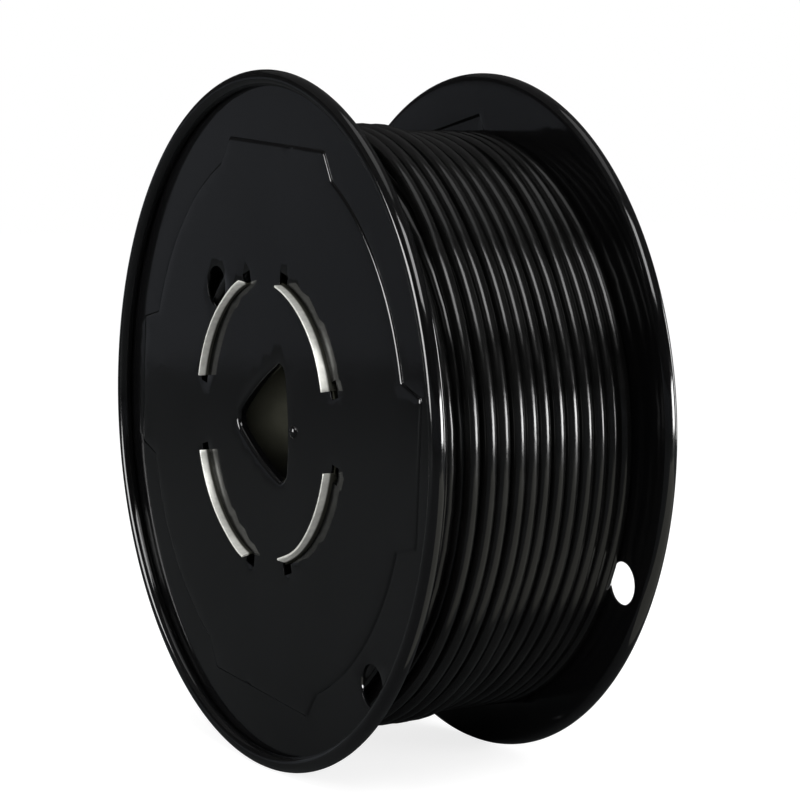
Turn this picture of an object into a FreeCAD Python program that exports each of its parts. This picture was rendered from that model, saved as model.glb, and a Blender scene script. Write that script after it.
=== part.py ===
import FreeCAD, Part
import math
import os

# A sheet steel wire reel standing on its two rims, wound with jacketed cable.
# All lengths are millimetres. +Z is up, the reel's axis runs along X at the
# height of one flange radius, and the origin is on the floor under its middle.
# Angles on a flange are counted as seen from outside the near one, the flange
# at -X: 0 points right (towards -Y), 90 points up.

# Flanges: stamped discs with a rolled rim and a raised middle
flange_diameter = 266.7
overall_width = 101.6
sheet = 0.9
rim_bead_diameter = 6.0
rim_curl_end = 215.0
step_height = 0.6
step_run = 0.6
plateau_band = 27.8

# The raised middle has four straight-topped lugs, wide and long ones in turn
lug_pitch = 90.0
wide_lug_half = 38.8
wide_lug_foot_half = 45.8
wide_lug_rise = 0.2
long_lug_half = 26.4
long_lug_foot_half = 30.0
long_lug_rise = 9.0
near_turn = 86.0
far_turn = 10.0

# Arbor opening: a rounded triangle with a collar drawn inwards
arbor_side_radius = 122.0
arbor_corner_radius = 5.0
arbor_corner_reach = 24.7
arbor_turn = 62.0
collar_depth = 2.0

# Holes for the cable's two ends
tie_hole_diameter = 16.0
tie_hole_rim_gap = 0.05
near_tie_angle = 312.7
far_tie_angle = 332.9
lead_hole_diameter = 16.0
lead_hole_offset = 11.3
near_lead_angle = 131.0
far_lead_angle = 153.0

# Barrel: a rolled tube whose tabs pass through slots in both flanges
barrel_diameter = 109.5
tab_count = 4
tab_first_angle = 46.0
tab_span = 58.0
tab_height = 3.8
tab_clinch_span = 16.0
tab_leans = [0.8, -1.2, -1.2, 1.5]
tab_clinch_at_end = [False, False, True, False]
slot_end_clearance = 3.2
slot_inner_clearance = 0.25
slot_outer_clearance = 0.9
notch_length = 6.2
notch_outwards = 4.2
seat_groove_width = 1.2
seat_groove_depth = 0.25
seam_width = 8.0
seam_layers = 2
seam_angle = 260.0
seam_end_gap = 1.0

# Winding: the outer layer is one cable, wound over a plain core
wire_diameter = 5.5
winding_rim_margin = 22.4
winding_hump = 2.6
hump_from_x = -2.0
hump_to_x = 10.0
winding_sag = 3.0
winding_side_gap = 0.25
layer_clearance = 0.1
outer_turns = 13.5
gap_turn = 1.35
gap_run = 0.8
gap_width = 3.7
winding_end_angle = 115.0
climb_turn = 0.25
climb_height = 5.0
climb_clearance = 0.4

# Start of the cable: a short stretch beside the near flange, behind the lead hole
start_tail_from = 104.0
start_tail_to = 152.0
start_tail_clearance = 0.4

# Conductor: strands laid as one, six and twelve, seen at both cut ends
strand_diameter = 0.74
strand_ring_step = 0.745
strand_counts = [1, 6, 12]
conductor_clearance = 0.05
conductor_shown = 3.0

flange_radius = flange_diameter / 2
bead_radius = rim_bead_diameter / 2
half_traverse = overall_width / 2 - rim_bead_diameter
plateau_radius = flange_radius - plateau_band
wide_lug = (wide_lug_half, wide_lug_foot_half, plateau_radius + wide_lug_rise)
long_lug = (long_lug_half, long_lug_foot_half, plateau_radius + long_lug_rise)
plateau_face = sheet + step_height
barrel_radius = barrel_diameter / 2
barrel_inner_radius = barrel_radius - sheet
tie_hole_radius = tie_hole_diameter / 2
tie_hole_centre = flange_radius - rim_bead_diameter - tie_hole_rim_gap - tie_hole_radius
lead_hole_centre = barrel_radius + lead_hole_offset
low_turn_radius = flange_radius - winding_rim_margin - wire_diameter / 2 + winding_sag
high_turn_radius = low_turn_radius + winding_hump

ORIGIN = FreeCAD.Vector(0, 0, 0)
X_AXIS = FreeCAD.Vector(1, 0, 0)
OUTWARD = FreeCAD.Vector(-1, 0, 0)


# Helpers: outward is the distance from the near flange's inner face

def face_point(outward, u, w):
    return FreeCAD.Vector(-half_traverse - outward, -u, w)


def polar_point(outward, radius, angle):
    a = math.radians(angle)
    return face_point(outward, radius * math.cos(a), radius * math.sin(a))


def line(a, b):
    return Part.LineSegment(a, b).toShape()


def arc(a, middle, b):
    return Part.Arc(a, middle, b).toShape()


def swing(shape, angle):
    turned = shape.copy()
    turned.rotate(ORIGIN, OUTWARD, angle)
    return turned


def spun(points, angle=360.0):
    face = Part.Face(Part.makePolygon(points + [points[0]]))
    return face.revolve(ORIGIN, OUTWARD, angle)


def disc(outward, length, radius, u=0.0, w=0.0):
    return Part.makeCylinder(radius, length, face_point(outward, u, w), OUTWARD)


def sector(outward, length, r_in, r_out, start, end):
    middle = (start + end) / 2
    edges = [
        arc(polar_point(outward, r_in, start), polar_point(outward, r_in, middle), polar_point(outward, r_in, end)),
        line(polar_point(outward, r_in, end), polar_point(outward, r_out, end)),
        arc(polar_point(outward, r_out, end), polar_point(outward, r_out, middle), polar_point(outward, r_out, start)),
        line(polar_point(outward, r_out, start), polar_point(outward, r_in, start)),
    ]
    return Part.Face(Part.Wire(edges)).extrude(OUTWARD * length)


def mirrored(shape):
    return shape.mirror(ORIGIN, X_AXIS)


# Flange

def rolled_disc():
    centre_r = flange_radius - bead_radius

    def on_bead(radius, angle):
        a = math.radians(angle)
        return face_point(bead_radius + radius * math.sin(a), centre_r + radius * math.cos(a), 0)

    inner = bead_radius - sheet
    middle = (rim_curl_end - 90) / 2
    edges = [
        line(face_point(0, 0, 0), on_bead(bead_radius, -90)),
        arc(on_bead(bead_radius, -90), on_bead(bead_radius, middle), on_bead(bead_radius, rim_curl_end)),
        line(on_bead(bead_radius, rim_curl_end), on_bead(inner, rim_curl_end)),
        arc(on_bead(inner, rim_curl_end), on_bead(inner, middle), on_bead(inner, -90)),
        line(on_bead(inner, -90), face_point(sheet, 0, 0)),
        line(face_point(sheet, 0, 0), face_point(0, 0, 0)),
    ]
    return Part.Face(Part.Wire(edges)).revolve(ORIGIN, X_AXIS, 360)


def plateau_outline(outward, inset, turn):
    radius = plateau_radius - inset
    lugs = [wide_lug, long_lug, wide_lug, long_lug]
    feet = [math.degrees(math.asin((lug[1] - inset) / radius)) for lug in lugs]
    edges = []
    for k, (half, foot_half, reach) in enumerate(lugs):
        middle = turn + k * lug_pitch
        next_middle = middle + lug_pitch
        corner_angle = math.degrees(math.atan2(half - inset, reach - inset))
        corner_radius = math.hypot(half - inset, reach - inset)
        foot = feet[k]
        next_foot = feet[(k + 1) % len(lugs)]
        foot_a = polar_point(outward, radius, middle - foot)
        corner_a = polar_point(outward, corner_radius, middle - corner_angle)
        corner_b = polar_point(outward, corner_radius, middle + corner_angle)
        foot_b = polar_point(outward, radius, middle + foot)
        last = polar_point(outward, radius, next_middle - next_foot)
        halfway = (middle + foot + next_middle - next_foot) / 2
        edges.append(line(foot_a, corner_a))
        edges.append(line(corner_a, corner_b))
        edges.append(line(corner_b, foot_b))
        edges.append(arc(foot_b, polar_point(outward, radius, halfway), last))
    return Part.Wire(edges)


def plateau_block(outward, inset, turn):
    low = plateau_outline(outward, inset, turn)
    high = plateau_outline(outward + step_height, inset + step_run, turn)
    return Part.makeLoft([low, high], True, True)


def arbor_outline(outward, grow):
    corner = arbor_corner_radius + grow
    side = arbor_side_radius + grow
    corner_centre = arbor_corner_reach - arbor_corner_radius
    half_chord = corner_centre * math.sin(math.radians(60))
    reach = arbor_side_radius - arbor_corner_radius
    back = math.sqrt(reach ** 2 - half_chord ** 2) - corner_centre / 2
    lean = math.degrees(math.asin(half_chord / reach))
    edges = []
    for k in range(3):
        tip = arbor_turn + 120 * k
        normal = tip + 60
        tip_point = polar_point(outward, corner_centre, tip)
        side_centre = polar_point(outward, -back, normal)

        def around(centre, radius, angle):
            return centre + polar_point(outward, radius, angle) - face_point(outward, 0, 0)

        edges.append(arc(
            around(tip_point, corner, tip - 60 + lean),
            around(tip_point, corner, tip),
            around(tip_point, corner, tip + 60 - lean)))
        edges.append(arc(
            around(side_centre, side, normal - lean),
            around(side_centre, side, normal),
            around(side_centre, side, normal + lean)))
    return Part.Wire(edges)


def arbor_prism(outward, length, grow):
    return Part.Face(arbor_outline(outward, grow)).extrude(OUTWARD * length)


def slot(angle):
    half = tab_span / 2 + math.degrees(slot_end_clearance / barrel_radius)
    return sector(
        -sheet, plateau_face + 2 * sheet,
        barrel_inner_radius - slot_inner_clearance,
        barrel_radius + slot_outer_clearance,
        angle - half, angle + half)


def slot_notches(angle):
    half = tab_span / 2 + math.degrees(slot_end_clearance / barrel_radius)
    length = math.degrees(notch_length / barrel_radius)
    notches = []
    for start in (angle - half, angle + half - length):
        notches.append(sector(
            -sheet, plateau_face + 2 * sheet,
            barrel_radius,
            barrel_radius + notch_outwards,
            start, start + length))
    return notches


def tab_angles():
    return [tab_first_angle + k * 360 / tab_count for k in range(tab_count)]


def flange(turn, tie_angle, lead_angle):
    bend_inset = sheet * math.tan(math.radians(22.5))
    body = rolled_disc()
    body = body.fuse(plateau_block(sheet, 0, turn))
    body = body.cut(plateau_block(0, bend_inset, turn))
    collar = arbor_prism(-collar_depth, collar_depth + plateau_face, sheet)
    body = body.fuse(collar)
    cuts = [arbor_prism(-collar_depth - sheet, collar_depth + plateau_face + 2 * sheet, 0)]
    for angle in tab_angles():
        cuts.append(slot(angle).fuse(slot_notches(angle)))
    cuts.append(swing(disc(-sheet, 2 * sheet, tie_hole_radius, tie_hole_centre), tie_angle))
    cuts.append(swing(disc(-sheet, plateau_face + 2 * sheet, lead_hole_diameter / 2, lead_hole_centre), lead_angle))
    seat = barrel_radius - sheet / 2
    groove = disc(plateau_face - seat_groove_depth, sheet, seat + seat_groove_width / 2)
    groove = groove.cut(disc(plateau_face - seat_groove_depth, sheet, seat - seat_groove_width / 2))
    cuts.append(groove)
    body = body.cut(Part.makeCompound(cuts))
    return body.removeSplitter()


# Barrel

def tab(angle, lean, clinch_at_end):
    start = angle - tab_span / 2
    end = angle + tab_span / 2
    split = end - tab_clinch_span if clinch_at_end else start + tab_clinch_span
    stem = sector(step_height, sheet, barrel_inner_radius, barrel_radius, start, end)
    if clinch_at_end:
        standing = sector(plateau_face, tab_height, barrel_inner_radius, barrel_radius, start, split)
        clinch_start = split
    else:
        standing = sector(plateau_face, tab_height, barrel_inner_radius, barrel_radius, split, end)
        clinch_start = start
    clinch = spun([
        face_point(plateau_face, barrel_inner_radius, 0),
        face_point(plateau_face, barrel_radius, 0),
        face_point(plateau_face + tab_height, barrel_radius - lean, 0),
        face_point(plateau_face + tab_height, barrel_inner_radius - lean, 0),
    ], tab_clinch_span)
    return stem.fuse([standing, swing(clinch, clinch_start)])


def barrel_tabs():
    tabs = []
    for angle, lean, at_end in zip(tab_angles(), tab_leans, tab_clinch_at_end):
        tabs.append(tab(angle, lean, at_end))
    return tabs


def barrel():
    length = 2 * (half_traverse + step_height)
    tube = disc(step_height - length, length, barrel_radius)
    tube = tube.cut(disc(step_height - length, length, barrel_inner_radius))
    half = math.degrees(seam_width / 2 / barrel_inner_radius)
    seam = sector(
        step_height - length + seam_end_gap, length - 2 * seam_end_gap,
        barrel_inner_radius - seam_layers * sheet, barrel_inner_radius,
        seam_angle - half, seam_angle + half)
    near_tabs = barrel_tabs()
    far_tabs = [mirrored(t) for t in barrel_tabs()]
    return tube.fuse([seam] + near_tabs + far_tabs).removeSplitter()


# Winding

def turn_radius(x):
    share = (x - hump_from_x) / (hump_to_x - hump_from_x)
    share = min(max(share, 0.0), 1.0)
    return high_turn_radius + (low_turn_radius - high_turn_radius) * share


def turn_x(t):
    first = -half_traverse + winding_side_gap + wire_diameter / 2
    pitch = (-2 * first - gap_width) / outer_turns
    share = min(max((t - gap_turn) / gap_run, 0.0), 1.0)
    return first + pitch * t + gap_width * share * share * (3 - 2 * share)


def turn_angle(t):
    return winding_end_angle + 360 * (t - outer_turns)


def turn_point(t):
    x = turn_x(t)
    a = math.radians(turn_angle(t))
    share = min(max(t / climb_turn, 0.0), 1.0)
    radius = turn_radius(x) - climb_height * (1 - share * share * (3 - 2 * share))
    return FreeCAD.Vector(x, -radius * math.cos(a), radius * math.sin(a) - winding_sag)


def turn_direction(t):
    step = 0.001
    direction = turn_point(t + step) - turn_point(t - step)
    direction.normalize()
    return direction


def arc_from(a, direction, b):
    chord = b - a
    length = chord.Length
    chord.normalize()
    half_turn = math.acos(min(1.0, direction.dot(chord))) / 2
    towards = direction + chord
    towards.normalize()
    return arc(a, a + towards * (length / 2 / math.cos(half_turn)), b)


def biarc(a, a_dir, b, b_dir):
    span = b - a
    both = a_dir + b_dir
    spread = 2 * (1 - a_dir.dot(b_dir))
    along = span.dot(both)
    reach = (math.sqrt(along ** 2 + spread * span.dot(span)) - along) / spread
    joint = (a + b + (a_dir - b_dir) * reach) * 0.5
    back = arc_from(b, b_dir * -1, joint)
    middle = back.valueAt((back.FirstParameter + back.LastParameter) / 2)
    return [arc_from(a, a_dir, joint), arc(joint, middle, b)]


def winding_path():
    quarters = int(round(outer_turns * 4))
    times = [k / 4 for k in range(quarters + 1)]
    first = turn_point(times[0])
    last = turn_point(times[-1])
    edges = [line(first - turn_direction(times[0]) * wire_diameter, first)]
    for t0, t1 in zip(times[:-1], times[1:]):
        edges += biarc(turn_point(t0), turn_direction(t0), turn_point(t1), turn_direction(t1))
    edges.append(line(last, last + turn_direction(times[-1]) * wire_diameter))
    return Part.Wire(edges)


def least_gap(path):
    samples = []
    walked = 0.0
    for edge in path.Edges:
        count = max(2, int(edge.Length / 2.5))
        for point in edge.discretize(count)[:-1]:
            samples.append((walked, point))
            walked += edge.Length / (count - 1)
    least = None
    turn = 2 * math.pi * low_turn_radius
    for i, (at, point) in enumerate(samples):
        for other_at, other in samples[i + 1:]:
            away = other_at - at
            if away < 0.5 * turn:
                continue
            if away > 1.5 * turn:
                break
            gap = point.distanceToPoint(other)
            if least is None or gap < least:
                least = gap
    return least - wire_diameter


def tube_along(path, start, direction):
    section = Part.Wire(Part.makeCircle(wire_diameter / 2, start, direction))
    return path.makePipeShell([section], True, False)


def cut_end(tube, end, direction):
    bore = strand_ring_step * (len(strand_counts) - 1) + strand_diameter / 2 + conductor_clearance
    return tube.cut(Part.makeCylinder(bore, conductor_shown, end - direction * conductor_shown, direction))


def finish_end():
    direction = turn_direction(outer_turns)
    return turn_point(outer_turns) + direction * wire_diameter, direction


def outer_layer():
    path = winding_path()
    first_dir = turn_direction(0)
    tube = tube_along(path, turn_point(0) - first_dir * wire_diameter, first_dir)
    expected = math.pi * (wire_diameter / 2) ** 2 * path.Length
    print("outer layer: length %.0f mm, least gap %.3f mm, volume ratio %.4f" % (
        path.Length, least_gap(path), tube.Volume / expected))
    return cut_end(tube, *finish_end())


# Start tail: lies in a groove of the core, its cut end towards the top

def tail_point(angle):
    outward = -winding_side_gap - wire_diameter / 2
    return polar_point(outward, lead_hole_centre, angle)


def tail_heading(angle):
    return polar_point(0, 1, angle + 90) - face_point(0, 0, 0)


def start_end():
    direction = tail_heading(start_tail_from) * -1
    return tail_point(start_tail_from) + direction * wire_diameter, direction


def start_tail():
    first, last = tail_point(start_tail_from), tail_point(start_tail_to)
    tip, tip_dir = start_end()
    middle = tail_point((start_tail_from + start_tail_to) / 2)
    path = Part.Wire([
        line(tip, first),
        arc(first, middle, last),
        line(last, last + tail_heading(start_tail_to) * wire_diameter),
    ])
    return cut_end(tube_along(path, tip, tip_dir * -1), tip, tip_dir)


def tail_groove():
    extra = math.degrees((wire_diameter + start_tail_clearance) / lead_hole_centre)
    half = wire_diameter / 2 + start_tail_clearance
    depth = winding_side_gap + wire_diameter + start_tail_clearance
    return sector(
        -depth, depth, lead_hole_centre - half, lead_hole_centre + half,
        start_tail_from - extra, start_tail_to + extra)


def climb_notch():
    first = turn_point(0)
    start = turn_angle(0) - math.degrees((wire_diameter + climb_clearance) / low_turn_radius)
    end = turn_angle(climb_turn)
    depth = turn_x(climb_turn) + half_traverse + wire_diameter / 2 + climb_clearance
    floor = turn_radius(first.x) - climb_height - wire_diameter / 2 - climb_clearance
    notch = sector(-depth, depth, floor, flange_radius, start, end)
    notch.translate(FreeCAD.Vector(0, 0, -winding_sag))
    return notch


def strands(end, direction):
    base = end - direction * conductor_shown
    across = direction.cross(X_AXIS)
    across.normalize()
    other = direction.cross(across)
    wires = []
    for ring, count in enumerate(strand_counts):
        radius = strand_ring_step * ring
        for k in range(count):
            a = 2 * math.pi * k / count
            centre = base + across * (radius * math.cos(a)) + other * (radius * math.sin(a))
            wires.append(Part.makeCylinder(strand_diameter / 2, conductor_shown, centre, direction))
    return Part.makeCompound(wires)


def inner_layers():
    half = half_traverse - winding_side_gap
    under = wire_diameter / 2 + layer_clearance

    def rim(x):
        return FreeCAD.Vector(x, 0, turn_radius(x) - under)

    points = [
        FreeCAD.Vector(-half, 0, 0),
        rim(-half),
        rim(hump_from_x),
        rim(hump_to_x),
        rim(half),
        FreeCAD.Vector(half, 0, 0),
    ]
    core = spun(points)
    core.translate(FreeCAD.Vector(0, 0, -winding_sag))
    core = core.cut(disc(-overall_width, 2 * overall_width, barrel_radius))
    return core.cut(Part.makeCompound([tail_groove(), climb_notch()]))


def main():
    os.makedirs("parts", exist_ok=True)
    pieces = {
        "near_flange": flange(near_turn, near_tie_angle, near_lead_angle),
        "far_flange": mirrored(flange(far_turn, far_tie_angle, far_lead_angle)),
        "barrel": barrel(),
        "wire_inner_layers": inner_layers(),
        "wire_outer_layer": outer_layer(),
        "wire_start_tail": start_tail(),
        "start_end_strands": strands(*start_end()),
        "finish_end_strands": strands(*finish_end()),
    }
    for name, shape in pieces.items():
        shape.translate(FreeCAD.Vector(0, 0, flange_radius))
        shape.exportStep("parts/%s.step" % name)
        box = shape.BoundBox
        print("%s: solids %d, valid %s, volume %.0f, x %.2f to %.2f, y %.2f to %.2f, z %.2f to %.2f" % (
            name, len(shape.Solids), shape.isValid(), shape.Volume,
            box.XMin, box.XMax, box.YMin, box.YMax, box.ZMin, box.ZMax))


main()
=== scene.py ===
import bpy
import bmesh
import math
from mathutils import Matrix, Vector, geometry, noise


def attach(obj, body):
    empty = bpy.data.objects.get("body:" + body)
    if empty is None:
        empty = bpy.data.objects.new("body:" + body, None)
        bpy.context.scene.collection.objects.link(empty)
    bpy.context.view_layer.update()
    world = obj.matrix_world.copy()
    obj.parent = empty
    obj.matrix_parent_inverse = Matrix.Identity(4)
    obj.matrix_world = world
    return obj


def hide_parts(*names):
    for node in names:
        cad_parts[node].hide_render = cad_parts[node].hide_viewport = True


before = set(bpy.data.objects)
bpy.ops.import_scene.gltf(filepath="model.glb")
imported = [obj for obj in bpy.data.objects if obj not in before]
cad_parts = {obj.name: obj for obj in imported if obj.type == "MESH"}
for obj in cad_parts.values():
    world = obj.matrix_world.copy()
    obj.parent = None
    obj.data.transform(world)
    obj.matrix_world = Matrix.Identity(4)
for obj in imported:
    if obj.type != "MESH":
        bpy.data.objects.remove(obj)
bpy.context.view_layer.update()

MM = 0.001

# Sizes in mm and angles in degrees, as in the CAD. Angles on a flange are counted as
# seen from outside the near one: 0 points towards -Y and 90 points up.
FLANGE_R = 133.35
BEAD_R = 3.0
RIM_CURL_END = 215
HALF_TRAVERSE = 44.8
SHEET = 0.9
STEP = 0.6
PLATEAU_R = 105.55
# Half width at the top, half width at the foot, reach
WIDE_LUG = (38.8, 45.8, 105.75)
LONG_LUG = (26.4, 30.0, 114.55)
LUGS = [WIDE_LUG, LONG_LUG, WIDE_LUG, LONG_LUG]
HOLE_R = 8.0
TIE_HOLE_RIM_GAP = 0.05
LEAD_HOLE_OFFSET = 11.3
NEAR_ANGLES = {"turn": 86.0, "tie_angle": 312.7, "lead_angle": 131.0}
FAR_ANGLES = {"turn": 10.0, "tie_angle": 332.9, "lead_angle": 153.0}
ARBOR = {"turn": 62.0, "corner": 5.0, "reach": 24.7, "side": 122.0}
COLLAR_DEPTH = 2.0
BARREL_OUT = 54.75
BARREL_IN = 53.85
SEAM_ANGLE = 260
TAB_ANGLES = [46.0, 136.0, 226.0, 316.0]
TAB_HEIGHT = 3.8
TAB_SPAN = 58.0
SLOT_END = 3.35
SLOT_INNER_CLEARANCE = 0.25
SLOT_OUTER_CLEARANCE = 0.9
NOTCH_LENGTH = 6.2
NOTCH_OUTWARDS = 4.2
WIRE_D = 5.5
SIDE_GAP = 0.25
SAG = 3.0

# Only here, not in the CAD: the collar's bend, and the pip beside the arbor opening
COLLAR_BEND = 0.85
PIP_UV = (21.8, -1.8)


def place(side, outward, u, w):
    return Vector((side * (HALF_TRAVERSE + outward) * MM, -u * MM, (FLANGE_R + w) * MM))


def ring_uv(radius, angle):
    a = math.radians(angle)
    return (radius * math.cos(a), radius * math.sin(a))


def new_object(name, verts, faces, smooth=True):
    mesh = bpy.data.meshes.new(name)
    mesh.from_pydata(verts, [], faces)
    mesh.update()
    obj = bpy.data.objects.new(name, mesh)
    bpy.context.scene.collection.objects.link(obj)
    if smooth:
        mesh.polygons.foreach_set("use_smooth", [True] * len(mesh.polygons))
    return obj


def weld(obj, distance=1e-6):
    bm = bmesh.new()
    bm.from_mesh(obj.data)
    bmesh.ops.remove_doubles(bm, verts=bm.verts, dist=distance)
    bmesh.ops.recalc_face_normals(bm, faces=bm.faces)
    bm.to_mesh(obj.data)
    bm.free()


def apply_modifiers(obj):
    graph = bpy.context.evaluated_depsgraph_get()
    mesh = bpy.data.meshes.new_from_object(obj.evaluated_get(graph))
    obj.modifiers.clear()
    obj.data = mesh


def soften(obj, width, angle):
    soft = obj.modifiers.new("edges", "BEVEL")
    soft.width = width
    soft.segments = 2
    soft.limit_method = "ANGLE"
    soft.angle_limit = math.radians(angle)
    apply_modifiers(obj)


def sharpen(obj, angle):
    bm = bmesh.new()
    bm.from_mesh(obj.data)
    limit = math.radians(angle)
    for edge in bm.edges:
        edge.smooth = edge.is_manifold and edge.calc_face_angle(0.0) < limit
    for face in bm.faces:
        face.smooth = True
    bm.to_mesh(obj.data)
    bm.free()


# Outlines on a flange, as closed lists of (u, w)

def circle_loop(radius, count, centre=(0.0, 0.0)):
    loop = []
    for k in range(count):
        u, w = ring_uv(radius, 360.0 * k / count)
        loop.append((centre[0] + u, centre[1] + w))
    return loop


def corner(points, a, c, b, reach, steps=5):
    """Rounds the corner at c, between a and b."""
    va = Vector((a[0] - c[0], a[1] - c[1]))
    vb = Vector((b[0] - c[0], b[1] - c[1]))
    va.normalize()
    vb.normalize()
    p = Vector(c) + va * reach
    q = Vector(c) + vb * reach
    for k in range(steps + 1):
        t = k / steps
        s = p * (1 - t) ** 2 + Vector(c) * 2 * t * (1 - t) + q * t * t
        points.append((s.x, s.y))


def plateau_loop(inset, turn):
    radius = PLATEAU_R - inset
    feet = [math.degrees(math.asin((lug[1] - inset) / radius)) for lug in LUGS]
    points = []
    for k, (top, _, reach) in enumerate(LUGS):
        c = turn + 90.0 * k
        foot = feet[k]
        corner_angle = math.degrees(math.atan2(top - inset, reach - inset))
        corner_radius = math.hypot(top - inset, reach - inset)
        before = ring_uv(radius, c - foot - 2)
        foot_a = ring_uv(radius, c - foot)
        corner_a = ring_uv(corner_radius, c - corner_angle)
        corner_b = ring_uv(corner_radius, c + corner_angle)
        foot_b = ring_uv(radius, c + foot)
        after = ring_uv(radius, c + foot + 2)
        corner(points, before, foot_a, corner_a, 0.7)
        corner(points, foot_a, corner_a, corner_b, 1.2)
        for j in range(1, 10):
            t = j / 10
            u = corner_a[0] * (1 - t) + corner_b[0] * t
            w = corner_a[1] * (1 - t) + corner_b[1] * t
            points.append((u, w))
        corner(points, corner_a, corner_b, foot_b, 1.2)
        corner(points, corner_b, foot_b, after, 0.7)
        start = c + foot + 1.0
        span = 90.0 - foot - feet[(k + 1) % len(LUGS)] - 2.0
        for j in range(16):
            points.append(ring_uv(radius, start + span * j / 15))
    return points


def arbor_loop(grow, side_points=9, corner_points=11):
    r_corner = ARBOR["corner"] + grow
    r_side = ARBOR["side"] + grow
    centre = ARBOR["reach"] - ARBOR["corner"]
    half_chord = centre * math.sin(math.radians(60))
    reach = ARBOR["side"] - ARBOR["corner"]
    back = math.sqrt(reach ** 2 - half_chord ** 2) - centre / 2
    lean = math.degrees(math.asin(half_chord / reach))
    points = []
    for k in range(3):
        tip = ARBOR["turn"] + 120.0 * k
        cu, cw = ring_uv(centre, tip)
        for j in range(corner_points):
            u, w = ring_uv(r_corner, tip - 60 + lean + (120 - 2 * lean) * j / (corner_points - 1))
            points.append((cu + u, cw + w))
        cu, cw = ring_uv(-back, tip + 60)
        for j in range(1, side_points):
            u, w = ring_uv(r_side, tip + 60 - lean + 2 * lean * j / side_points)
            points.append((cu + u, cw + w))
    return points


def slot_loop(middle, steps=22):
    """A slot round one tab, with a notch outwards at either end."""
    half = TAB_SPAN / 2 + SLOT_END
    length = math.degrees(NOTCH_LENGTH / BARREL_OUT)
    r_in = BARREL_IN - SLOT_INNER_CLEARANCE
    r_out = BARREL_OUT + SLOT_OUTER_CLEARANCE
    r_notch = BARREL_OUT + NOTCH_OUTWARDS
    rows = [(r_notch, -half, -half + length, 3), (r_out, -half + length, half - length, steps)]
    rows += [(r_notch, half - length, half, 3), (r_in, half, -half, steps)]
    points = []
    for radius, start, end, count in rows:
        for j in range(count + 1):
            points.append(ring_uv(radius, middle + start + (end - start) * j / count))
    return points


def inside(point, outline):
    hit = False
    x, y = point
    for k, (ax, ay) in enumerate(outline):
        bx, by = outline[k - 1]
        if (ay > y) != (by > y) and x < (bx - ax) * (y - ay) / (by - ay) + ax:
            hit = not hit
    return hit


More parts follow.
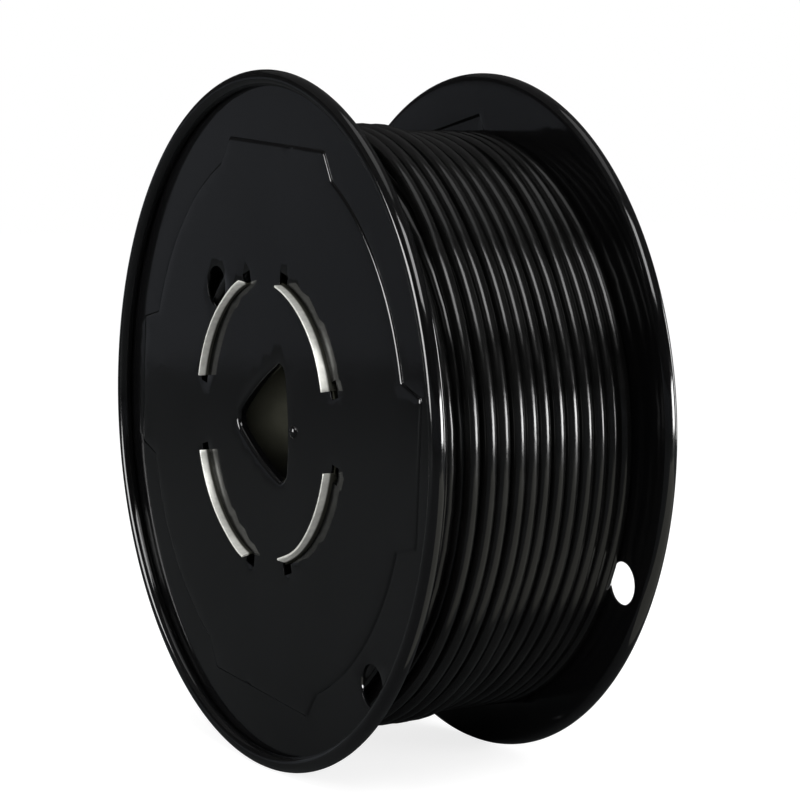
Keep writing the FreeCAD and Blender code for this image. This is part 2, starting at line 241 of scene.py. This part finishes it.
def build_flange(name, side, turn, tie_angle, lead_angle):
    tie_uv = ring_uv(FLANGE_R - 2 * BEAD_R - TIE_HOLE_RIM_GAP - HOLE_R, tie_angle)
    lead_uv = ring_uv(BARREL_OUT + LEAD_HOLE_OFFSET, lead_angle)
    # the step up to the raised middle: inset, height
    step_shape = [(-0.35, 0.0), (0.0, 0.05), (0.25, 0.22), (0.45, 0.40), (0.7, 0.55), (1.05, STEP)]
    rim_count = 300
    rim_steps = 28
    collar_steps = 5
    hole_count = 48
    face_r = FLANGE_R - BEAD_R
    loops = []
    loops.append(("rim", circle_loop(face_r, rim_count), 0.0))
    for inset, height in step_shape:
        loops.append(("step", plateau_loop(inset, turn), height))
    loops.append(("arbor", arbor_loop(SHEET + COLLAR_BEND), STEP))
    for middle in TAB_ANGLES:
        loops.append(("slot", slot_loop(middle), STEP))
    loops.append(("tie", circle_loop(HOLE_R, hole_count, tie_uv), 0.0))
    loops.append(("lead", circle_loop(HOLE_R, hole_count, lead_uv), STEP))
    coords = []
    heights = []
    edges = []
    for _, loop, height in loops:
        first = len(coords)
        coords += loop
        heights += [height] * len(loop)
        edges += [(first + k, first + (k + 1) % len(loop)) for k in range(len(loop))]
    # a light grid of points keeps the flat parts' triangles even
    pitch = 6.0
    row_height = 0.866
    rim_margin = 3
    cell_size = 4
    least_square = 6.0
    rows = int(FLANGE_R / pitch) + 1
    cells = {}
    for p in [Vector((p[0], p[1])) for _, loop, _ in loops for p in loop]:
        cells.setdefault((int(p.x // cell_size), int(p.y // cell_size)), []).append(p)
    flat_outline = plateau_loop(step_shape[-1][0], turn)
    for i in range(-rows, rows + 1):
        for j in range(-rows - 4, rows + 5):
            u = pitch * (i + 0.5 * (j % 2))
            w = pitch * row_height * j
            if math.hypot(u, w) > face_r - rim_margin:
                continue
            cell = (int(u // cell_size), int(w // cell_size))
            near = False
            for di in (-1, 0, 1):
                for dj in (-1, 0, 1):
                    for p in cells.get((cell[0] + di, cell[1] + dj), []):
                        if (p.x - u) ** 2 + (p.y - w) ** 2 < least_square:
                            near = True
            if near:
                continue
            coords.append((u, w))
            if inside((u, w), flat_outline):
                heights.append(STEP)
            else:
                heights.append(0.0)
    holes = [loop for kind, loop, _ in loops if kind in ("arbor", "slot", "tie", "lead")]
    flat = [Vector(c) for c in coords]
    verts2, _, faces2, orig, _, _ = geometry.delaunay_2d_cdt(flat, edges, [], 0, 1e-5)
    height_of = [heights[o[0]] if o else 0.0 for o in orig]
    faces = []
    for face in faces2:
        cu = sum(verts2[i].x for i in face) / len(face)
        cw = sum(verts2[i].y for i in face) / len(face)
        if math.hypot(cu, cw) > face_r:
            continue
        if any(inside((cu, cw), hole) for hole in holes):
            continue
        faces.append(tuple(face))
    verts = [place(side, height_of[i], v.x, v.y) for i, v in enumerate(verts2)]

    def strip(previous, current):
        n = len(previous)
        for k in range(n):
            faces.append((previous[k], previous[(k + 1) % n], current[(k + 1) % n], current[k]))

    def add_loop(loop, outward):
        first = len(verts)
        verts.extend(place(side, outward, u, w) for u, w in loop)
        return list(range(first, first + len(loop)))

    # rolled rim, from the face round the outside and back in
    previous = add_loop(circle_loop(face_r, rim_count), 0.0)
    for k in range(1, rim_steps + 1):
        angle = math.radians(-90 + (RIM_CURL_END + 90) * k / rim_steps)
        radius = face_r + BEAD_R * math.cos(angle)
        current = add_loop(circle_loop(radius, rim_count), BEAD_R + BEAD_R * math.sin(angle))
        strip(previous, current)
        previous = current
    # collar drawn in round the arbor opening
    previous = add_loop(arbor_loop(SHEET + COLLAR_BEND), STEP)
    for k in range(1, collar_steps + 1):
        angle = math.radians(90 * k / collar_steps)
        grow = SHEET + COLLAR_BEND * (1 - math.sin(angle))
        current = add_loop(arbor_loop(grow), STEP - COLLAR_BEND * (1 - math.cos(angle)))
        strip(previous, current)
        previous = current
    current = add_loop(arbor_loop(SHEET), -COLLAR_DEPTH)
    strip(previous, current)
    obj = new_object(name, verts, faces)
    weld(obj, 2e-6)
    bm = bmesh.new()
    bm.from_mesh(obj.data)
    bmesh.ops.delete(bm, geom=[v for v in bm.verts if not v.link_faces], context="VERTS")
    bmesh.ops.recalc_face_normals(bm, faces=bm.faces)
    probe = max(bm.faces, key=lambda f: f.calc_area())
    if probe.normal.x * side > 0:
        bmesh.ops.reverse_faces(bm, faces=bm.faces)
    bm.to_mesh(obj.data)
    bm.free()
    thick = obj.modifiers.new("sheet", "SOLIDIFY")
    thick.thickness = SHEET * MM
    thick.offset = -1.0
    soften(obj, 0.00016, 60)
    sharpen(obj, 40.0)
    return obj


def build_pip(name, side, u, w, radius=2.6, height=1.3):
    """A little pressed pip on a flange's face."""
    verts = []
    faces = []
    rings = 6
    sides = 24
    base = STEP + SHEET - 0.05
    for i in range(rings + 1):
        share = i / rings
        for k in range(sides):
            a = 2 * math.pi * k / sides
            r = radius * math.cos(share * math.pi / 2)
            rise = height * math.sin(share * math.pi / 2)
            verts.append(place(side, base + rise, u + r * math.cos(a), w + r * math.sin(a)))
    for i in range(rings):
        for k in range(sides):
            a = i * sides + k
            b = i * sides + (k + 1) % sides
            faces.append((a, b, b + sides, a + sides))
    pip = new_object(name, verts, faces)
    weld(pip)
    return pip


# Barrel: tube, lock seam and clinched tabs

# How far each tab's clinched end leans inwards, and whether that is its last end
TAB_LEANS = [(0.8, False), (-1.2, False), (-1.2, True), (1.5, False)]
CLINCH_FROM = 0.66


def tab_lean(index, share):
    lean, at_end = TAB_LEANS[index]
    along = share if at_end else 1 - share
    reach = max(0.0, (along - CLINCH_FROM) / 0.34)
    return lean * reach * reach * (3 - 2 * reach)


def build_tabs(name, side):
    verts = []
    faces = []
    n_angle = 44
    foot = STEP + SHEET
    top = STEP + SHEET + TAB_HEIGHT
    # radius, distance outwards, share of the lean
    profile = [
        (BARREL_IN, -0.6, 0.0),
        (BARREL_IN, foot, 0.0),
        (BARREL_IN, foot + 1.2, 0.35),
        (BARREL_IN, top - 0.25, 0.93),
        (BARREL_IN + 0.08, top - 0.07, 0.98),
        (BARREL_IN + 0.25, top, 1.0),
        (BARREL_OUT - 0.25, top, 1.0),
        (BARREL_OUT - 0.08, top - 0.07, 0.98),
        (BARREL_OUT, top - 0.25, 0.93),
        (BARREL_OUT, foot + 1.2, 0.35),
        (BARREL_OUT, foot, 0.0),
        (BARREL_OUT, -0.6, 0.0),
    ]
    m = len(profile)
    for index, middle in enumerate(TAB_ANGLES):
        first = len(verts)
        for j in range(n_angle + 1):
            share = j / n_angle
            angle = middle - TAB_SPAN / 2 + TAB_SPAN * share
            lean = tab_lean(index, share)
            for radius, outward, part in profile:
                u, w = ring_uv(radius - lean * part, angle)
                verts.append(place(side, outward, u, w))
        for j in range(n_angle):
            for i in range(m):
                a = first + j * m + i
                b = first + j * m + (i + 1) % m
                faces.append((a, b, b + m, a + m))
        faces.append(tuple(first + i for i in range(m)))
        faces.append(tuple(first + n_angle * m + i for i in reversed(range(m))))
    obj = new_object(name, verts, faces)
    weld(obj)
    soften(obj, 0.00012, 50)
    sharpen(obj, 35.0)
    return obj


def build_barrel(name):
    verts = []
    faces = []
    count = 180
    end = HALF_TRAVERSE + STEP - 0.02
    xs = [-end, -40, -20, 0, 20, 40, end]
    rows = [(x, BARREL_OUT) for x in xs] + [(x, BARREL_IN) for x in reversed(xs)]
    for k in range(count):
        for x, radius in rows:
            u, w = ring_uv(radius, 360.0 * k / count)
            verts.append(Vector((x * MM, -u * MM, (FLANGE_R + w) * MM)))
    m = len(rows)
    for k in range(count):
        for i in range(m):
            a = k * m + i
            b = k * m + (i + 1) % m
            c = ((k + 1) % count) * m
            faces.append((a, b, c + (i + 1) % m, c + i))
    # the lock seam's fold stands inside the tube
    first = len(verts)
    seam = [(-4.6, 0.0), (-4.4, 0.9), (-3.8, 1.5), (3.8, 1.8), (4.4, 1.3), (4.6, 0.0)]
    seam_end = HALF_TRAVERSE - 0.4
    for x in (-seam_end, seam_end):
        for along, depth in seam:
            angle = SEAM_ANGLE + math.degrees(along / BARREL_IN)
            u, w = ring_uv(BARREL_IN + 0.02 - depth, angle)
            verts.append(Vector((x * MM, -u * MM, (FLANGE_R + w) * MM)))
    n = len(seam)
    for i in range(n):
        faces.append((first + i, first + (i + 1) % n, first + n + (i + 1) % n, first + n + i))
    faces.append(tuple(first + i for i in range(n)))
    faces.append(tuple(first + n + i for i in reversed(range(n))))
    obj = new_object(name, verts, faces)
    weld(obj)
    sharpen(obj, 35.0)
    return obj


# Wire

def tube(name, points, radius, sides):
    verts = []
    faces = []
    tangent = (points[1] - points[0]).normalized()
    normal = tangent.orthogonal().normalized()
    for k, p in enumerate(points):
        if k == 0:
            direction = (points[1] - points[0]).normalized()
        elif k == len(points) - 1:
            direction = (points[-1] - points[-2]).normalized()
        else:
            direction = (points[k + 1] - points[k - 1]).normalized()
        turn = tangent.rotation_difference(direction)
        normal = turn @ normal
        normal = (normal - direction * normal.dot(direction)).normalized()
        tangent = direction
        other = direction.cross(normal)
        for s in range(sides):
            a = 2 * math.pi * s / sides
            verts.append(p + (normal * math.cos(a) + other * math.sin(a)) * radius)
    for k in range(len(points) - 1):
        for s in range(sides):
            a = k * sides + s
            b = k * sides + (s + 1) % sides
            faces.append((a, b, b + sides, a + sides))
    faces.append(tuple(range(sides)))
    last = (len(points) - 1) * sides
    faces.append(tuple(last + s for s in reversed(range(sides))))
    obj = new_object(name, verts, faces)
    bm = bmesh.new()
    bm.from_mesh(obj.data)
    bmesh.ops.recalc_face_normals(bm, faces=bm.faces)
    bm.to_mesh(obj.data)
    bm.free()
    return obj


# Where each turn of the outer layer crosses the front, from the photo, mm
TURN_X = [
    -42.0, -36.6, -23.9, -16.9, -11.4, -4.9, 0.6, 7.1, 13.5, 19.4, 25.5, 31.1, 36.55, 42.0,
]
OUTER_TURNS = 13.5
END_ANGLE = 115.0
HIGH_R = 113.8
LOW_R = 111.2
CLIMB_HEIGHT = 5.0
CLIMB_TURN = 0.25
# Degrees past the front where a turn starts to cross over, how far that varies, and for how long
CROSS_FROM = 34.0
CROSS_SWAY = 16.0
CROSS_SPAN = 66.0


def smooth(value, low, high):
    share = min(max((value - low) / (high - low), 0.0), 1.0)
    return share * share * (3 - 2 * share)


def wave(seed, value):
    return noise.noise(Vector((value, seed * 7.13, seed * 1.7)))


def turn_radius(x):
    return HIGH_R + (LOW_R - HIGH_R) * smooth(x, -2.0, 10.0)


def wire_point(x, radius, a, sag=0.0):
    z = FLANGE_R - sag + radius * math.sin(a)
    return Vector((x * MM, -radius * math.cos(a) * MM, z * MM))


def outer_point(t):
    """The last two turns both end at the last crossing, so they overlap near the wire's end."""
    angle = END_ANGLE + 360.0 * (t - OUTER_TURNS)
    k = int(math.floor(angle / 360.0)) + int(OUTER_TURNS)
    k = min(max(k, -1), len(TURN_X) - 1)
    within = angle - 360.0 * (k - int(OUTER_TURNS))
    here = TURN_X[max(k, 0)]
    after = TURN_X[min(k + 1, len(TURN_X) - 1)]
    start = CROSS_FROM + CROSS_SWAY * wave(3, k * 2.3)
    x = here + (after - here) * smooth(within, start, start + CROSS_SPAN)
    radius = turn_radius(x) - CLIMB_HEIGHT * (1 - smooth(t, 0.0, CLIMB_TURN))
    return wire_point(x, radius, math.radians(angle), SAG)


def build_outer(name):
    steps = 96
    points = [outer_point(i / steps) for i in range(int(OUTER_TURNS * steps) + 1)]
    return tube(name, points, WIRE_D / 2 * MM, 16)


LAYERS = 10
LAYER_TURNS = 15
LAYER_REACH = 41.75
LAYER_START = 20.0
# Height of the outer layer over the top hidden one, in wire diameters
LAYER_HEIGHT = 0.94


def build_inner(name):
    """Every hidden layer, wound to and fro from the barrel outwards."""
    points = []
    steps = 48
    pitch = 2 * LAYER_REACH / LAYER_TURNS
    low = BARREL_OUT + WIRE_D / 2
    for layer in range(LAYERS):
        for i in range(LAYER_TURNS * steps):
            t = i / steps
            across = -LAYER_REACH + pitch * t
            x = across if layer % 2 == 0 else -across
            top = turn_radius(x) - WIRE_D * LAYER_HEIGHT
            share = layer / (LAYERS - 1)
            radius = low + (top - low) * share
            a = math.radians(360.0 * t + LAYER_START)
            points.append(wire_point(x, radius, a, SAG * share))
    return tube(name, points, WIRE_D / 2 * MM, 8)


TAIL_FROM = 100.0
TAIL_SPAN = 56.0


def build_tail(name):
    """The wire's start, behind the near lead hole."""
    points = []
    steps = 48
    radius = BARREL_OUT + LEAD_HOLE_OFFSET
    x = -HALF_TRAVERSE + SIDE_GAP + WIRE_D / 2
    for i in range(steps + 1):
        angle = math.radians(TAIL_FROM + TAIL_SPAN * i / steps)
        points.append(wire_point(x, radius, angle))
    return tube(name, points, WIRE_D / 2 * MM, 20)


# Materials

class Shader:
    """A node tree with one Principled shader and short ways to feed it."""

    def __init__(self, name):
        self.mat = bpy.data.materials.new(name)
        self.mat.use_nodes = True
        self.tree = self.mat.node_tree
        self.out = self.tree.nodes["Principled BSDF"]
        self.coords = self.node("ShaderNodeTexCoord").outputs["Object"]

    def node(self, kind, **values):
        made = self.tree.nodes.new(kind)
        for key, value in values.items():
            setattr(made, key, value)
        return made

    def link(self, source, target):
        self.tree.links.new(source, target)

    def set(self, **values):
        for key, value in values.items():
            self.out.inputs[key.replace("_", " ")].default_value = value

    def noise(self, scale, detail):
        made = self.node("ShaderNodeTexNoise")
        made.inputs["Scale"].default_value = scale
        made.inputs["Detail"].default_value = detail
        self.link(self.coords, made.inputs["Vector"])
        return made.outputs["Fac"]

    def ramp(self, source, stops):
        made = self.node("ShaderNodeValToRGB")
        ramp = made.color_ramp
        while len(ramp.elements) < len(stops):
            ramp.elements.new(0.5)
        for element, (at, colour) in zip(ramp.elements, stops):
            element.position = at
            element.color = (*colour, 1)
        self.link(source, made.inputs[0])
        return made.outputs[0]

    def span(self, source, low, high):
        made = self.node("ShaderNodeMapRange")
        made.inputs["From Min"].default_value = 0.3
        made.inputs["From Max"].default_value = 0.7
        made.inputs["To Min"].default_value = low
        made.inputs["To Max"].default_value = high
        self.link(source, made.inputs["Value"])
        return made.outputs[0]

    def colour(self, source, stops):
        self.link(self.ramp(source, stops), self.out.inputs["Base Color"])

    def roughness(self, source, low, high):
        self.link(self.span(source, low, high), self.out.inputs["Roughness"])

    def bump(self, source, strength, distance):
        made = self.node("ShaderNodeBump")
        made.inputs["Strength"].default_value = strength
        made.inputs["Distance"].default_value = distance
        self.link(source, made.inputs["Height"])
        self.link(made.outputs[0], self.out.inputs["Normal"])


def enamel_material():
    s = Shader("black_enamel")
    s.set(IOR=1.5)
    s.out.inputs["Specular IOR Level"].default_value = 0.5
    s.colour(s.noise(14.0, 4.0), [(0.3, (0.0014, 0.0014, 0.0015)), (0.7, (0.0026, 0.0026, 0.0028))])
    s.roughness(s.noise(38.0, 5.0), 0.07, 0.13)
    s.bump(s.noise(420.0, 2.0), 0.03, 0.0002)
    return s.mat


def jacket_material():
    s = Shader("black_jacket")
    s.out.inputs["Specular IOR Level"].default_value = 0.4
    s.colour(s.noise(60.0, 5.0), [(0.35, (0.0018, 0.0018, 0.0018)), (0.7, (0.0034, 0.0034, 0.0033))])
    s.roughness(s.noise(90.0, 5.0), 0.14, 0.26)
    s.bump(s.noise(55.0, 3.0), 0.25, 0.0007)
    return s.mat


def steel_material():
    s = Shader("bare_steel")
    s.set(Metallic=0.45)
    grain = s.ramp(s.noise(420.0, 4.0), [(0.3, (0.6, 0.6, 0.56)), (0.7, (0.78, 0.78, 0.73))])
    # painted shade: the tabs are darkened near their roots, where they leave the flange, to stand for
    # the shade there
    apart = s.node("ShaderNodeSeparateXYZ")
    s.link(s.coords, apart.inputs[0])
    away = s.node("ShaderNodeMath", operation="ABSOLUTE")
    s.link(apart.outputs["X"], away.inputs[0])
    root = s.node("ShaderNodeMapRange")
    root.inputs["From Min"].default_value = (HALF_TRAVERSE + STEP + SHEET + 0.7) * MM
    root.inputs["From Max"].default_value = (HALF_TRAVERSE + STEP + SHEET + 1.4) * MM
    s.link(away.outputs[0], root.inputs["Value"])
    # inputs 6 and 7 and output 2 are the mix node's colour sockets
    mix = s.node("ShaderNodeMix", data_type="RGBA")
    s.link(root.outputs[0], mix.inputs[0])
    # the painted shade's colour at the tab roots
    mix.inputs[6].default_value = (0.04, 0.04, 0.032, 1)
    s.link(grain, mix.inputs[7])
    s.link(mix.outputs[2], s.out.inputs["Base Color"])
    s.roughness(s.noise(500.0, 4.0), 0.28, 0.42)
    s.bump(s.noise(1200.0, 2.0), 0.06, 0.0001)
    return s.mat


# painted shade: the barrel tube is the tabs' steel, darkened to stand for the shade inside the reel;
# its slight yellow tint is the steel's own
def shaded_steel_material():
    s = Shader("shaded_steel")
    s.set(Metallic=1.0)
    s.colour(s.noise(45.0, 5.0), [(0.3, (0.028, 0.028, 0.021)), (0.7, (0.05, 0.05, 0.038))])
    s.roughness(s.noise(120.0, 4.0), 0.4, 0.55)
    return s.mat


def copper_material():
    s = Shader("copper")
    s.set(Metallic=1.0)
    tarnish = s.noise(500.0, 3.0)
    s.colour(tarnish, [(0.3, (0.6, 0.26, 0.14)), (0.7, (0.86, 0.43, 0.27))])
    s.roughness(tarnish, 0.22, 0.4)
    return s.mat


def dress(obj, mat):
    obj.data.materials.clear()
    obj.data.materials.append(mat)


ENAMEL = enamel_material()
JACKET = jacket_material()
STEEL = steel_material()
SHADED_STEEL = shaded_steel_material()
COPPER = copper_material()

near = build_flange("near_flange_sheet", -1, **NEAR_ANGLES)
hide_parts("near_flange")
far = build_flange("far_flange_sheet", 1, **FAR_ANGLES)
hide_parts("far_flange")
pip = build_pip("near_flange_pip", -1, *PIP_UV)
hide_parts("near_flange")
for piece in (near, far, pip):
    dress(piece, ENAMEL)
    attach(piece, "root")

tube_piece = build_barrel("barrel_tube")
tabs_near = build_tabs("barrel_tabs_near", -1)
tabs_far = build_tabs("barrel_tabs_far", 1)
for piece, mat in ((tube_piece, SHADED_STEEL), (tabs_near, STEEL), (tabs_far, STEEL)):
    dress(piece, mat)
    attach(piece, "root")
    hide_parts("barrel")

outer = build_outer("wire_outer_turns")
dress(outer, JACKET)
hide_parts("wire_outer_layer")
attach(outer, "root")

inner = build_inner("wire_inner_turns")
tail = build_tail("wire_start_end")
for piece, node in ((inner, "wire_inner_layers"), (tail, "wire_start_tail")):
    dress(piece, JACKET)
    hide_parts(node)
    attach(piece, "root")

for node in ("start_end_strands", "finish_end_strands"):
    dress(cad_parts[node], COPPER)


# Stage, in metres: a pale floor, a white studio, soft lamps and rings of dark cards

def seen_ray(tree):
    """One for camera, glossy and transmission rays, nought for the rest."""
    path = tree.nodes.new("ShaderNodeLightPath")
    total = path.outputs["Is Camera Ray"]
    for name in ("Is Glossy Ray", "Is Transmission Ray"):
        either = tree.nodes.new("ShaderNodeMath")
        either.operation = "MAXIMUM"
        tree.links.new(total, either.inputs[0])
        tree.links.new(path.outputs[name], either.inputs[1])
        total = either.outputs[0]
    return total


def stage_floor():
    half = 6.0
    verts = [(-half, -half, 0), (half, -half, 0), (half, half, 0), (-half, half, 0)]
    floor = new_object("floor", verts, [(0, 1, 2, 3)], smooth=False)
    mat = bpy.data.materials.new("pale_floor")
    mat.use_nodes = True
    tree = mat.node_tree
    tree.nodes.clear()
    out = tree.nodes.new("ShaderNodeOutputMaterial")
    mix = tree.nodes.new("ShaderNodeMixShader")
    matt = tree.nodes.new("ShaderNodeBsdfDiffuse")
    matt.inputs["Color"].default_value = (0.8, 0.8, 0.8, 1)
    faint = tree.nodes.new("ShaderNodeBsdfDiffuse")
    faint.inputs["Color"].default_value = (0.36, 0.36, 0.36, 1)
    glow = tree.nodes.new("ShaderNodeEmission")
    glow.inputs["Strength"].default_value = 0.8
    both = tree.nodes.new("ShaderNodeAddShader")
    tree.links.new(faint.outputs[0], both.inputs[0])
    tree.links.new(glow.outputs[0], both.inputs[1])
    tree.links.new(seen_ray(tree), mix.inputs[0])
    tree.links.new(matt.outputs[0], mix.inputs[1])
    tree.links.new(both.outputs[0], mix.inputs[2])
    tree.links.new(mix.outputs[0], out.inputs[0])
    dress(floor, mat)


def world_light():
    world = bpy.data.worlds.new("studio")
    bpy.context.scene.world = world
    world.use_nodes = True
    tree = world.node_tree
    tree.nodes.clear()
    out = tree.nodes.new("ShaderNodeOutputWorld")
    mix = tree.nodes.new("ShaderNodeMixShader")
    soft = tree.nodes.new("ShaderNodeBackground")
    soft.inputs["Strength"].default_value = 0.6
    pale = tree.nodes.new("ShaderNodeBackground")
    pale.inputs["Strength"].default_value = 1.0
    for background in (soft, pale):
        background.inputs["Color"].default_value = (1, 1, 1, 1)
    tree.links.new(seen_ray(tree), mix.inputs[0])
    tree.links.new(soft.outputs[0], mix.inputs[1])
    tree.links.new(pale.outputs[0], mix.inputs[2])
    tree.links.new(mix.outputs[0], out.inputs[0])


def card_material(name, shade, tint=(1.0, 1.0, 1.0)):
    mat = bpy.data.materials.new(name)
    mat.use_nodes = True
    shader = mat.node_tree.nodes["Principled BSDF"]
    shader.inputs["Base Color"].default_value = (*(shade * t for t in tint), 1)
    shader.inputs["Roughness"].default_value = 1.0
    shader.inputs["Specular IOR Level"].default_value = 0.0
    return mat


def as_card(card, mat):
    dress(card, mat)
    card.visible_camera = False
    card.visible_diffuse = False
    card.visible_shadow = False


def card_ring(name, low, high, shade, tint=(1.0, 1.0, 1.0)):
    """A ring of cards, seen in the gloss alone, so that black enamel has something dark to mirror."""
    count = 24
    verts = []
    for radius, height in (low, high):
        for k in range(count):
            a = 2 * math.pi * k / count
            verts.append((radius * math.cos(a), radius * math.sin(a), height))
    faces = [(k, (k + 1) % count, count + (k + 1) % count, count + k) for k in range(count)]
    cards = new_object(name, verts, faces, smooth=False)
    as_card(cards, card_material(name, shade, tint))


def dark_cards():
    ring = 1.9
    lift = 0.0006
    low_top = 0.4
    high_top = 1.3
    card_ring("card_floor", (0.001, lift), (ring, lift), 0.08, (0.97, 1.03, 1.05))
    card_ring("card_low_wall", (ring, lift), (ring, low_top), 0.15, (0.94, 1.0, 1.1))
    card_ring("card_high_wall", (ring, low_top), (ring, high_top), 0.03)
    card_ring("card_slope", (ring, high_top), (0.7, 2.2), 0.12)
    left, right, front, back, height = -0.05, 0.5, -0.7, -0.125, 0.0012
    verts = [(left, front, height), (right, front, height), (right, back, height), (left, back, height)]
    grey = new_object("card_grey", verts, [(0, 1, 2, 3)], smooth=False)
    as_card(grey, card_material("grey_card", 0.42, (1.0, 1.0, 0.9)))


AIM = (0, 0, 0.13)
# Name, azimuth, elevation, distance, width, height, watts
LAMPS = [
    ("key", -55, 3.5, 1.2, 0.58, 0.26, 13),
    ("side", -12, 5, 1.3, 0.2, 0.6, 5),
    ("left", 163, 10, 1.2, 0.5, 0.5, 9),
    ("fill", -115, 48, 1.3, 0.6, 0.6, 8),
]


def area_light(name, azimuth, elevation, distance, size_x, size_y, power):
    """Azimuth is counted from +X towards +Y, both angles in degrees."""
    a, e = math.radians(azimuth), math.radians(elevation)
    away = Vector((math.cos(e) * math.cos(a), math.cos(e) * math.sin(a), math.sin(e)))
    data = bpy.data.lights.new(name, "AREA")
    data.shape = "RECTANGLE"
    data.size = size_x
    data.size_y = size_y
    data.energy = power
    light = bpy.data.objects.new(name, data)
    light.location = Vector(AIM) + away * distance
    light.rotation_euler = (-away).to_track_quat("-Z", "Y").to_euler()
    bpy.context.scene.collection.objects.link(light)


stage_floor()
world_light()
dark_cards()
for lamp in LAMPS:
    area_light(*lamp)

# The camera that was fitted to the photo: place, degrees downwards and degrees aside
CAMERA_PLACE = (-0.4862, -0.8710, 0.23625)
CAMERA_DOWN = 5.54
CAMERA_ASIDE = 29.78
CAMERA_LENS = 115.64

camera_data = bpy.data.cameras.new("camera")
camera_data.lens = CAMERA_LENS
camera_data.sensor_width = 36
camera = bpy.data.objects.new("camera", camera_data)
camera.location = CAMERA_PLACE
camera.rotation_euler = (math.radians(90 - CAMERA_DOWN), 0, math.radians(-CAMERA_ASIDE))
bpy.context.scene.collection.objects.link(camera)
bpy.context.scene.camera = camera

bpy.context.scene.view_settings.view_transform = "Standard"
